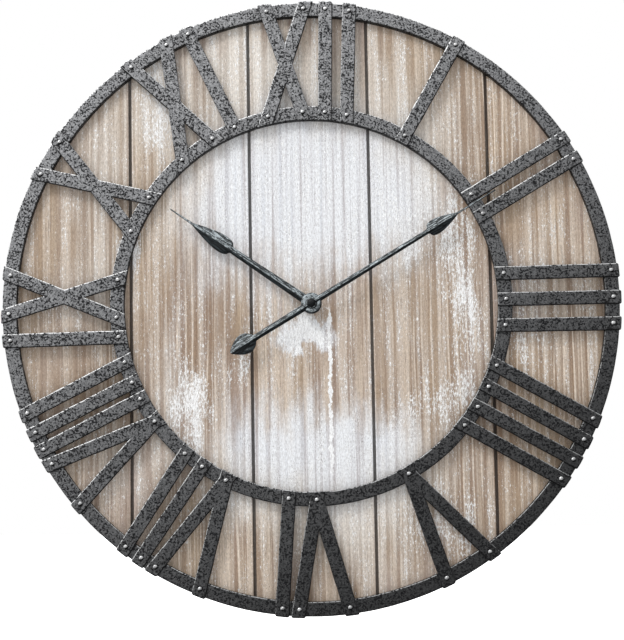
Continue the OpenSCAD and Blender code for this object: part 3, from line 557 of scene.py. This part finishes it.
def board_material():
    """Green solder mask with traces and tinned pads."""
    n = Nodes("circuit_green")
    cell = n.node("TexBrick", Vector=n.stretch((420, 420, 420)), Scale=1.0)
    cell.inputs["Mortar Size"].default_value = 0.06
    cell.inputs["Color1"].default_value = (0.012, 0.12, 0.045, 1)
    cell.inputs["Color2"].default_value = (0.02, 0.16, 0.06, 1)
    cell.inputs["Mortar"].default_value = (0.05, 0.25, 0.10, 1)
    fine = n.noise(n.coord, 600, 2)
    pads = n.node("TexVoronoi", Vector=n.coord, Scale=330.0).outputs["Distance"]
    colour = n.mix(n.step(pads, 0.14, 0.10, 0.0, 0.9), cell.outputs["Color"], (0.6, 0.58, 0.5))
    return n.finish(colour, n.step(fine, 0.3, 0.7, 0.28, 0.4), fine, 0.00005, 0.3)


def winding_material():
    """Enamelled copper wire laid in fine turns."""
    n = Nodes("copper_winding")
    wave = n.node("TexWave", Vector=n.coord, Scale=1300.0, Distortion=0.6)
    turns = wave.outputs["Fac"]
    colour = n.mix(turns, (0.30, 0.09, 0.03), (0.75, 0.33, 0.16))
    return n.finish(colour, n.step(turns, 0, 1, 0.45, 0.28), turns, 0.0001, 0.8, 0.9)


def rivet_material():
    """Burnished steel domes, with painted shade near black round the foot and on the slope to the lower
    right.
    """
    n = Nodes("burnished_rivet")
    fine = n.noise(n.coord, 900, 3, 0.6)
    # Painted shade: steep and lower-right slopes of each dome are painted near black; the rest keeps the
    # steel's colour
    crown = n.mul(n.step(n.facing(), 0.35, 0.75), n.step(n.leaning(), -0.45, 0.05))
    steel = n.mix(n.step(fine, 0.3, 0.7), (0.33, 0.33, 0.335), (0.66, 0.66, 0.66))
    colour = n.mix(crown, (0.006, 0.006, 0.006), steel)
    return n.finish(colour, n.step(fine, 0.3, 0.7, 0.2, 0.34), fine, 0.0002, 0.5, 0.6)


IRON = iron_material()
WOOD = wood_material()
HOUR_ANGLE = 304.94
MINUTE_ANGLE = 59.22
HOUR_METAL = hand_material("forged_hour", HOUR_ANGLE)
MINUTE_METAL = hand_material("forged_minute", MINUTE_ANGLE)
RIVET = rivet_material()
NUT = plain_material("black_nut", (0.004, 0.005, 0.006), 0.3, 0.0, 0.3, 900.0, 0.00005, 0.05, 0.2)
BY_SLOT = {
    "plank_wood": WOOD,
    "batten_wood": batten_material(),
    "zinc_steel": zinc_material(),
    "iron": IRON,
    "rivet_steel": RIVET,
    "rubber": plain_material("pad_rubber", (0.02, 0.02, 0.021), 0.75, 0.0, 0.3),
    "case_plastic": plain_material("case_plastic", (0.022, 0.022, 0.024), 0.48, 0.0, 0.2, 1500.0),
    "gear_plastic": plain_material("gear_acetal", (0.78, 0.77, 0.71), 0.4, 0.0, 0.06),
    "brass": plain_material("turned_brass", (0.71, 0.48, 0.17), 0.26, 0.95, 0.15),
    "battery_wrap": battery_material(*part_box("battery")),
    "board_green": board_material(),
    "epoxy_black": plain_material("chip_epoxy", (0.01, 0.01, 0.011), 0.3, 0.0, 0.3),
    "lamination": plain_material("soft_iron", (0.46, 0.46, 0.47), 0.35, 0.9, 0.12),
    "copper_wire": winding_material(),
    "magnet_black": plain_material("magnet_black", (0.05, 0.045, 0.045), 0.4, 0.3, 0.25),
    "hand_metal": MINUTE_METAL,
    "nut_black": NUT,
}
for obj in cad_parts.values():
    for index, used in enumerate(obj.material_slots):
        key = used.material.name.split(".")[0] if used.material else "iron"
        obj.data.materials[index] = BY_SLOT.get(key, NUT)

# ---------------------------------------------------------------------------
# Planks
# ---------------------------------------------------------------------------


def spaced(low, high, step):
    """Even steps between two ends, ends included."""
    count = max(1, round((high - low) / step))
    return [low + (high - low) * i / count for i in range(count + 1)]


def grain_relief(x, z):
    """How far the brushed grain lies below the plank's face, in metres."""
    slow = noise.noise(Vector((x * 9, 0.3, z * 2.2)))
    ridge = math.sin((x + 0.02 * slow) * 2 * math.pi / GRAIN_PITCH)
    fine = noise.noise(Vector((x * 190, 1.7, z * 3)))
    return (0.16 - 0.06 * ridge - 0.12 * fine) * MM


def plank(i):
    """One plank with eased edges, shiplap steps and brushed grain, cut to the disc."""
    name = f"plank_{i}"
    lo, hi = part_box(name)
    mid = (i - 3) * PITCH
    left = lo.x if i == 1 else mid - (PITCH - GROOVE) / 2
    right = hi.x if i == 5 else mid + (PITCH - GROOVE) / 2
    back_left = left if i == 1 else left + LAP
    back_right = right if i == 5 else right + LAP
    if i == 1:
        left += RIM_CLEAR
        back_left = left
    if i == 5:
        right -= RIM_CLEAR
        back_right = right
    mid_y = (WOOD_Y + WOOD_BACK_Y) / 2
    ease = [0, 0.08, 0.3, 0.6, 1.0]
    front = [left + e * ROUND for e in ease]
    front += spaced(left + 2 * ROUND, right - 2 * ROUND, 2 * MM)
    front += [right - e * ROUND for e in reversed(ease)]
    loop = []
    for x in front:
        d = min(x - left, right - x, ROUND)
        fall = ROUND - math.sqrt(max(0, ROUND ** 2 - (ROUND - d) ** 2))
        loop.append([x, WOOD_Y + fall, True])
    loop.append([right, mid_y, False])
    if back_right > right:
        loop.append([back_right, mid_y, False])
    loop += [[x, WOOD_BACK_Y, False] for x in reversed(spaced(back_left, back_right, 15 * MM))]
    if back_left > left:
        loop.append([back_left, mid_y, False])
    loop.append([left, mid_y, False])
    rows = spaced(-1, 1, 2 * MM / WOOD_R)
    rim_row = 0.0008
    rows = [-1, -1 + rim_row] + rows[1:-1] + [1 - rim_row, 1]
    verts = []
    for t in rows:
        for x, y, brushed in loop:
            z = t * math.sqrt(max(0, WOOD_R ** 2 - x * x))
            down = grain_relief(x, z) if brushed else 0
            verts.append((x, y + down, z + AXIS_Z))
    n = len(loop)
    faces = skin(len(rows), n)
    for r in (0, len(rows) - 1):
        faces.append([r * n + k for k in range(n)])
    obj = build(name + "_brushed", verts, faces)
    if i == 3:
        ends = (WOOD_Y - 10 * MM, WOOD_BACK_Y + 10 * MM)
        bore = revolve("bore", [[ON_AXIS, ends[0]], [BORE_R, ends[0]], [BORE_R, ends[1]],
                                [ON_AXIS, ends[1]]], 48, False)
        tidy(bore)
        bore.data.transform(on_dial())
        tidy(obj, 50, True)
        apply_boolean(obj, bore, "DIFFERENCE")
    tidy(obj, 50, True)
    return dress(obj, WOOD, "clock_frame", "plank_wood", name)


for number in range(1, 6):
    plank(number)

# ---------------------------------------------------------------------------
# Hoops
# ---------------------------------------------------------------------------


def hoop(name, outer_r, back_y, wood_y):
    """A pressed channel ring, open to the back, with softened and hammered edges."""
    inner_r = outer_r - HOOP_W
    ease = 1.2 * MM
    across = spaced(inner_r + ease, outer_r - ease, 1.9 * MM)
    corner = [(0.0, 1.0), (0.12, 0.52), (0.45, 0.16), (1.0, 0.0)]
    loop = [[inner_r, y] for y in (wood_y, wood_y - 3 * MM)]
    loop += [[inner_r + u * ease, HOOP_Y + v * ease] for u, v in corner]
    loop += [[r, HOOP_Y] for r in across[1:-1]]
    loop += [[outer_r - u * ease, HOOP_Y + v * ease] for u, v in reversed(corner)]
    walls = spaced(HOOP_Y + ease, back_y, 3 * MM)
    loop += [[outer_r, y] for y in walls[1:]]
    loop += [[outer_r - HOOP_T, back_y], [outer_r - HOOP_T, HOOP_Y + HOOP_T]]
    loop += [[inner_r + HOOP_T, HOOP_Y + HOOP_T], [inner_r + HOOP_T, wood_y]]
    obj = revolve(name + "_hammered", loop, 900, True)
    obj.data.transform(on_dial())
    hammer(obj, 0.3 * MM, 0.12 * MM, HOOP_Y + 0.2 * MM)
    tidy(obj, 50)
    return dress(obj, IRON, "clock_frame", "iron", name)


hoop("outer_hoop", OUTER_R, LAP_Y, WOOD_Y)
hoop("inner_hoop", INNER_R, WOOD_Y, WOOD_Y)

# ---------------------------------------------------------------------------
# Numerals and rivets
# ---------------------------------------------------------------------------

# Each strap as [inner offset, outer offset] in mm from its numeral's middle line, on the
# two rivet circles. Straps in one inner list cross or meet flush and become one piece.
NUMERALS = [
    [[[0, 0]]],
    [[[-11.8, -12.8]], [[10.9, 10.4]]],
    [[[-26.8, -28.1]], [[-1.1, -1.7]], [[24.6, 24.4]]],
    [[[-34.6, -34.7]], [[-12.4, -12.2]], [[10, 9.6]], [[31.9, 32]]],
    [[[4.3, -23.8], [4.3, 25.1]]],
    [[[-2, -32.4], [-2, 16.5]], [[25.1, 32.8]]],
    [[[-11.4, -40.3], [-11.4, 7.7]], [[15.4, 23.9]], [[36.1, 42.3]]],
    [[[-20.7, -52.1], [-20.7, -4.8]], [[5.5, 11.4]], [[23.3, 29.7]], [[44.2, 50]]],
    [[[-30, -31.9]], [[26.5, -5.5], [-10.8, 32.6]]],
    [[[14.2, -17.5], [-23.8, 19.5]]],
    [[[0.5, -32.2], [-36.1, 9.5]], [[25.1, 33.6]]],
    [[[-5.4, -39.9], [-39.7, -3]], [[16.8, 19]], [[38.4, 42.8]]],
]
STRAP_W = 13.8 * MM
NUMERAL_IN_R = INNER_R - HOOP_W - 0.6 * MM
NUMERAL_OUT_R = OUTER_R + 1.5 * MM
BEVEL = 1.25 * MM
FLAT_FROM = 2.4 * MM
STRAP_CORNER_R = 1.8 * MM
STRAP_SUNK = 0.2 * MM


def rivet_points(strap):
    """A strap's two rivets, in its numeral's own upright frame."""
    x_in, x_out = strap[0] * MM, strap[1] * MM
    return (Vector((x_in, 0, math.sqrt(INNER_RIVET_R ** 2 - x_in ** 2))),
            Vector((x_out, 0, math.sqrt(OUTER_RIVET_R ** 2 - x_out ** 2))))


def strap_mesh(name, strap):
    """A strap with softened chamfers, ends that follow the hoops and rounded outer corners."""
    inner, outer = rivet_points(strap)
    run = (outer - inner).normalized()
    across_run = Vector((run.z, 0, -run.x))
    w = STRAP_W / 2
    r = STRAP_CORNER_R

    def reach(x, limit):
        """How far along the strap the line at x meets a circle about the hands' axis."""
        q = inner + across_run * x
        return -q.dot(run) + math.sqrt(q.dot(run) ** 2 - q.length_squared + limit ** 2)

    length = reach(0, NUMERAL_OUT_R) - reach(0, NUMERAL_IN_R)
    near = [0, 0.15 * BEVEL, 0.55 * BEVEL, BEVEL]
    fall = [BEVEL, 0.6 * BEVEL, 0.18 * BEVEL, 0]
    across = [-w + d for d in near] + spaced(-w + FLAT_FROM, w - FLAT_FROM, 1.8 * MM)
    across += [w - d for d in reversed(near)]
    along = near + spaced(FLAT_FROM, length - FLAT_FROM, 2 * MM)
    along += [length - d for d in reversed(near)]
    verts, faces = [], []
    cols, rows = len(across), len(along)
    for s in along:
        for x in across:
            over = max(0, abs(x) - (w - r))
            cut = r - math.sqrt(max(0, r * r - over * over))
            start = reach(x, NUMERAL_IN_R)
            span = reach(x, NUMERAL_OUT_R) - cut - start
            d = min(w - abs(x), s, length - s)
            down = float(np.interp(d, near, fall))
            verts.append((x, STRAP_Y + down, start + s / length * span))
    for j in range(rows - 1):
        for i in range(cols - 1):
            a = j * cols + i
            faces.append((a, a + 1, a + cols + 1, a + cols))
    rim = list(range(cols))
    rim += [j * cols + cols - 1 for j in range(1, rows)]
    rim += [(rows - 1) * cols + i for i in range(cols - 2, -1, -1)]
    rim += [j * cols for j in range(rows - 2, 0, -1)]
    base = len(verts)
    for k in rim:
        verts.append((verts[k][0], HOOP_Y + STRAP_SUNK, verts[k][2]))
    for k in range(len(rim)):
        m = (k + 1) % len(rim)
        faces.append((rim[m], rim[k], base + k, base + m))
    faces.append([base + k for k in range(len(rim))])
    obj = build(name, verts, faces)
    turn = Matrix.Rotation(math.atan2(run.x, run.z), 4, "Y")
    obj.data.transform(Matrix.Translation(inner) @ turn)
    tidy(obj, 40)
    return obj


def numeral(n):
    """All the straps of one numeral, turned to its place on the dial and hammered."""
    name = f"numeral_{n:02d}"
    pieces = []
    for group in NUMERALS[n - 1]:
        first = strap_mesh(name + "_strapped", group[0])
        for other in group[1:]:
            apply_boolean(first, strap_mesh("other", other), "UNION")
        pieces.append(first)
    whole = pieces[0]
    bm = bmesh.new()
    for piece in pieces:
        bm.from_mesh(piece.data)
    bm.to_mesh(whole.data)
    bm.free()
    for piece in pieces[1:]:
        bpy.data.objects.remove(piece)
    whole.name = name + "_strapped"
    whole.data.transform(on_dial(30 * n))
    hammer(whole, 0.22 * MM, 0.22 * MM, STRAP_Y + 0.1 * MM)
    tidy(whole, 38, True)
    return dress(whole, IRON, "clock_frame", "iron", name)


for number in range(1, 13):
    numeral(number)

# The dome's outline: (radius, height) in mm
RIVET_DOME = [(2.5, 0.35), (2.48, 0.0), (2.36, -0.5), (2.05, -0.95), (1.55, -1.28), (0.9, -1.46),
              (0.3, -1.5)]


def rivets(name, which, seed):
    """Hammered domes on one rivet circle, no two quite alike."""
    sides = 24
    rng = np.random.default_rng(seed)
    bm = bmesh.new()
    for n in range(1, 13):
        turn = Matrix.Rotation(math.radians(30 * n), 4, "Y")
        for group in NUMERALS[n - 1]:
            for strap in group:
                at = turn @ rivet_points(strap)[which]
                size = rng.uniform(0.94, 1.0)
                tilt = rng.uniform(-0.06, 0.06, 2)
                facet = rng.uniform(0, 6.28)
                rings = []
                for r, y in RIVET_DOME:
                    ring = []
                    for k in range(sides):
                        a = 2 * math.pi * k / sides
                        wave = 1 + 0.02 * math.sin(3 * a + facet)
                        p = Vector((r * wave * math.sin(a), y, r * wave * math.cos(a))) * size * MM
                        p.y += (p.x * tilt[0] + p.z * tilt[1])
                        ring.append(bm.verts.new(p + Vector((at.x, STRAP_Y, at.z + AXIS_Z))))
                    rings.append(ring)
                for low, high in zip(rings, rings[1:]):
                    for k in range(sides):
                        m = (k + 1) % sides
                        bm.faces.new((low[k], low[m], high[m], high[k]))
                bm.faces.new(rings[0][::-1])
                bm.faces.new(rings[-1])
    mesh = bpy.data.meshes.new(name + "_domed")
    bm.to_mesh(mesh)
    bm.free()
    obj = bpy.data.objects.new(name + "_domed", mesh)
    bpy.context.scene.collection.objects.link(obj)
    tidy(obj, 60)
    return dress(obj, RIVET, "clock_frame", "rivet_steel", name)


rivets("outer_rivets", 1, 11)
rivets("inner_rivets", 0, 12)

# ---------------------------------------------------------------------------
# Hands
# ---------------------------------------------------------------------------


def lerp_rows(rows, step):
    """Fills in stations between the given ones, smoothly, at about one step apart (in mm)."""
    given = np.array(rows, float)
    stations = spaced(given[0, 0], given[-1, 0], step)
    out = []
    for s in stations:
        k = min(len(given) - 2, int(np.searchsorted(given[:, 0], s, "right")) - 1)
        u = (s - given[k, 0]) / (given[k + 1, 0] - given[k, 0])
        out.append([s] + list(given[k, 1:] * (1 - u) + given[k + 1, 1:] * u))
    return out


def forged_arm(name, rows, back_y):
    """A blade with a raised ridge. Each row: distance out, half width of the blade, half width
    of the ridge, height of the blade's edge, height at the ridge's foot, height of the ridge."""
    verts = []
    stations = lerp_rows(rows, 1.2)
    for s, w, rw, edge, foot, crest in stations:
        rw = min(rw, w * 0.98)
        half = [(0, crest), (0.35 * rw, crest * 0.9 + foot * 0.1), (0.75 * rw, crest * 0.45 + foot * 0.55),
                (rw, foot), (rw + (w - rw) * 0.5, foot * 0.55 + edge * 0.45), (w - (w - rw) * 0.08, edge),
                (w, edge * 0.55)]
        line = [(-x, h) for x, h in reversed(half[1:])] + half
        line = [(-w, 0)] + line + [(w, 0)]
        verts += [(x * MM, back_y - h * MM, s * MM) for x, h in line]
    n = len(line)
    faces = skin(len(stations), n)
    faces.append(list(range(n))[::-1])
    faces.append([(len(stations) - 1) * n + c for c in range(n)])
    obj = build(name, verts, faces)
    tidy(obj, 180)
    return obj


def hub(name, back_y, radius, height):
    """The forged disc at a hand's root, dished to a raised collar."""
    shape = [(0.02, 0.0), (radius - 0.3, 0.0), (radius, 0.3), (radius - 0.05, 0.75 * height),
             (radius - 0.7, height), (radius * 0.72, height * 0.93), (radius * 0.6, height * 0.86),
             (radius * 0.52, height * 1.02), (radius * 0.4, height * 1.04), (0.02, height * 1.04)]
    obj = revolve(name, [[r * MM, back_y - h * MM] for r, h in shape], 72, False)
    tidy(obj, 180)
    return obj


def leaf_rows(start, end, root, widest, tip, ridge, heights, lean=0.55):
    """Rows of a spade leaf: it opens quickly from the stem and tapers slowly to the point."""
    edge, foot, crest = heights
    rows = []
    steps = 20
    for k in range(steps + 1):
        u = k / steps
        swell = math.sin(math.pi * u ** lean) ** 0.9
        w = root + (tip - root) * u + (widest - root) * swell
        rows.append([start + (end - start) * u, w, ridge * (1 - 0.72 * u), edge, foot,
                     crest - 0.9 * u])
    return rows


def hand(node_name, body, back_y, angle, mat, arms, hub_size):
    """A hub and its arms in one piece, turned to the time shown and lightly dented."""
    whole = hub(node_name + "_forged", back_y, *hub_size)
    for rows, turned_back in arms:
        arm = forged_arm("arm", rows, back_y)
        if turned_back:
            arm.data.transform(Matrix.Rotation(math.pi, 4, "Y"))
        apply_boolean(whole, arm, "UNION")
    whole.data.transform(on_dial(angle))
    for v in whole.data.vertices:
        p = v.co
        if p.y < back_y - 0.3 * MM:
            v.co.y += 0.16 * MM * fbm(p, 190, 2)
    tidy(whole, 42, True)
    return dress(whole, mat, body, "hand_metal", node_name)


HOUR_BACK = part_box("hour_hand")[1].y
MINUTE_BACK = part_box("minute_hand")[1].y
minute_arm = [[0, 3.4, 2.6, 0.4, 0.9, 2.6], [12, 3.1, 2.5, 0.4, 0.9, 2.6],
              [133, 2.4, 2.0, 0.4, 0.9, 2.2]]
minute_arm += leaf_rows(135, 169, 2.4, 8.1, 1.0, 2.0, (0.25, 1.5, 2.3))
minute_arm += [[213.6, 0.7, 0.5, 0.4, 0.7, 1.0]]
minute_back_arm = [[0, 3.6, 2.7, 0.4, 0.9, 2.6], [62, 3.1, 2.6, 0.4, 0.9, 2.2],
                   [65, 3.3, 2.5, 0.4, 1.0, 2.2]]
minute_back_arm += leaf_rows(65.5, 92.8, 3.3, 10.9, 1.2, 2.2, (0.3, 1.4, 2.2), 0.8)
hour_arm = [[0, 4.8, 3.8, 0.4, 0.9, 2.6], [12, 4.6, 3.7, 0.4, 0.9, 2.6],
            [94, 3.3, 2.8, 0.4, 0.9, 2.3]]
hour_arm += leaf_rows(95, 141, 3.3, 9.2, 1.2, 2.6, (0.25, 1.7, 2.5))
hour_arm += [[167.6, 0.6, 0.45, 0.4, 0.7, 0.9]]
hand("hour_hand", "hour_body", HOUR_BACK, HOUR_ANGLE, HOUR_METAL, [(hour_arm, False)], (10.2, 1.5))
hand("minute_hand", "minute_body", MINUTE_BACK, MINUTE_ANGLE, MINUTE_METAL,
     [(minute_arm, False), (minute_back_arm, True)], (10.2, 1.7))


def hex_nut_mesh():
    """The dark nut: a chamfered hexagon under a shallow dome."""
    corner_r = 4.8
    rings = [(corner_r, 0.0), (corner_r, 1.9), (4.45, 2.25), (4.1, 2.42), (3.85, 2.45), (3.4, 3.15),
             (2.6, 3.6), (1.4, 3.9), (0.3, 4.0)]
    verts = []
    count = 72
    for limit, h in rings:
        for k in range(count):
            a = 2 * math.pi * k / count
            side = (a + math.pi / 6) % (math.pi / 3) - math.pi / 6
            flat = corner_r * math.cos(math.pi / 6) / math.cos(side)
            r = min(limit, flat)
            verts.append((r * math.cos(a) * MM, nut_hi.y - h * MM, r * math.sin(a) * MM + AXIS_Z))
    faces = skin(len(rings), count)
    faces.append(list(range(count))[::-1])
    faces.append([(len(rings) - 1) * count + k for k in range(count)])
    obj = build("hand_nut_domed", verts, faces)
    tidy(obj, 30)
    return dress(obj, NUT, "minute_body", "nut_black", "hand_nut")


hex_nut_mesh()

# ---------------------------------------------------------------------------
# Stage, light and camera
# ---------------------------------------------------------------------------

floor_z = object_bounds()[0][2] - 0.012
n = Nodes("pale_floor")
cloudy = n.noise(n.coord, 3, 2)
stage_white = n.finish(n.mix(cloudy, (0.93, 0.93, 0.93), (0.96, 0.96, 0.96)), 0.5)
n.put(n.shader.inputs["Emission Color"], (1.0, 1.0, 1.0))
n.shader.inputs["Emission Strength"].default_value = 1.0
floor_half = 4
corners = [(-1, -1), (1, -1), (1, 1), (-1, 1)]
floor = build("floor", [(x * floor_half, y * floor_half, floor_z) for x, y in corners],
              [(0, 1, 2, 3)])
floor.data.materials.append(stage_white)
floor.visible_diffuse = False
floor.visible_glossy = False

world = bpy.data.worlds.new("studio")
bpy.context.scene.world = world
world.use_nodes = True
tree = world.node_tree


def backing(colour, strength):
    made = tree.nodes.new("ShaderNodeBackground")
    made.inputs["Color"].default_value = (*colour, 1)
    made.inputs["Strength"].default_value = strength
    return made


def either(choice, usual, special):
    made = tree.nodes.new("ShaderNodeMixShader")
    tree.links.new(choice, made.inputs[0])
    tree.links.new(usual, made.inputs[1])
    tree.links.new(special, made.inputs[2])
    return made.outputs[0]


# Soft even light all round; a gloss sees a room that is bright up left and dark down right
room_coord = tree.nodes.new("ShaderNodeTexCoord")
lean = tree.nodes.new("ShaderNodeVectorMath")
lean.operation = "DOT_PRODUCT"
lean.inputs[1].default_value = Vector((-0.5, -0.35, 0.79)).normalized()
tree.links.new(room_coord.outputs["Generated"], lean.inputs[0])
glow = tree.nodes.new("ShaderNodeMapRange")
glow.interpolation_type = "SMOOTHSTEP"
for key, value in (("From Min", -0.1), ("From Max", 0.95), ("To Min", 0.03), ("To Max", 1.6)):
    glow.inputs[key].default_value = value
tree.links.new(lean.outputs["Value"], glow.inputs["Value"])
gloss_room = backing((1, 1, 1), 1.0)
tree.links.new(glow.outputs[0], gloss_room.inputs["Strength"])
sight = tree.nodes.new("ShaderNodeLightPath")
lit = either(sight.outputs["Is Glossy Ray"], backing((0.97, 0.985, 1.0), 0.92).outputs[0],
             gloss_room.outputs[0])
seen = either(sight.outputs["Is Camera Ray"], lit, backing((1, 1, 1), 1.0).outputs[0])
tree.links.new(seen, tree.nodes["World Output"].inputs["Surface"])


dial_middle = Vector((0, HOOP_Y, AXIS_Z))


def softbox(name, place, size, watts):
    """A square or oblong lamp that faces the dial's middle."""
    lamp = bpy.data.lights.new(name, "AREA")
    lamp.shape = "RECTANGLE"
    lamp.size, lamp.size_y = size
    lamp.energy = watts
    obj = bpy.data.objects.new(name, lamp)
    bpy.context.scene.collection.objects.link(obj)
    obj.location = place
    aim = dial_middle - Vector(place)
    obj.rotation_euler = aim.to_track_quat("-Z", "Y").to_euler()


softbox("key", (-1.1, -1.4, 1.6), (0.8, 0.8), 30)
softbox("rim_left", (-1.8, 1.2, 0.8), (1.0, 1.0), 14)
softbox("rim_right", (1.6, 1.4, 0.6), (1.0, 1.0), 10)

bpy.context.scene.view_settings.view_transform = "Standard"

camera = bpy.data.objects.new("camera", bpy.data.cameras.new("camera"))
bpy.context.scene.collection.objects.link(camera)
camera.data.lens = 96.4
camera.data.sensor_width = 36
camera.data.shift_x = 0.001
camera.data.shift_y = -0.0255
elevation, azimuth, distance, roll = math.radians(-6.2), math.radians(-0.24), 1.684, math.radians(1.0)
away = Vector((math.sin(azimuth) * math.cos(elevation), -math.cos(azimuth) * math.cos(elevation),
               math.sin(elevation)))
camera.location = dial_middle + distance * away
look = (-away).to_track_quat("-Z", "Y").to_matrix().to_4x4()
camera.matrix_world = Matrix.Translation(camera.location) @ look @ Matrix.Rotation(-roll, 4, "Z")
bpy.context.scene.camera = camera
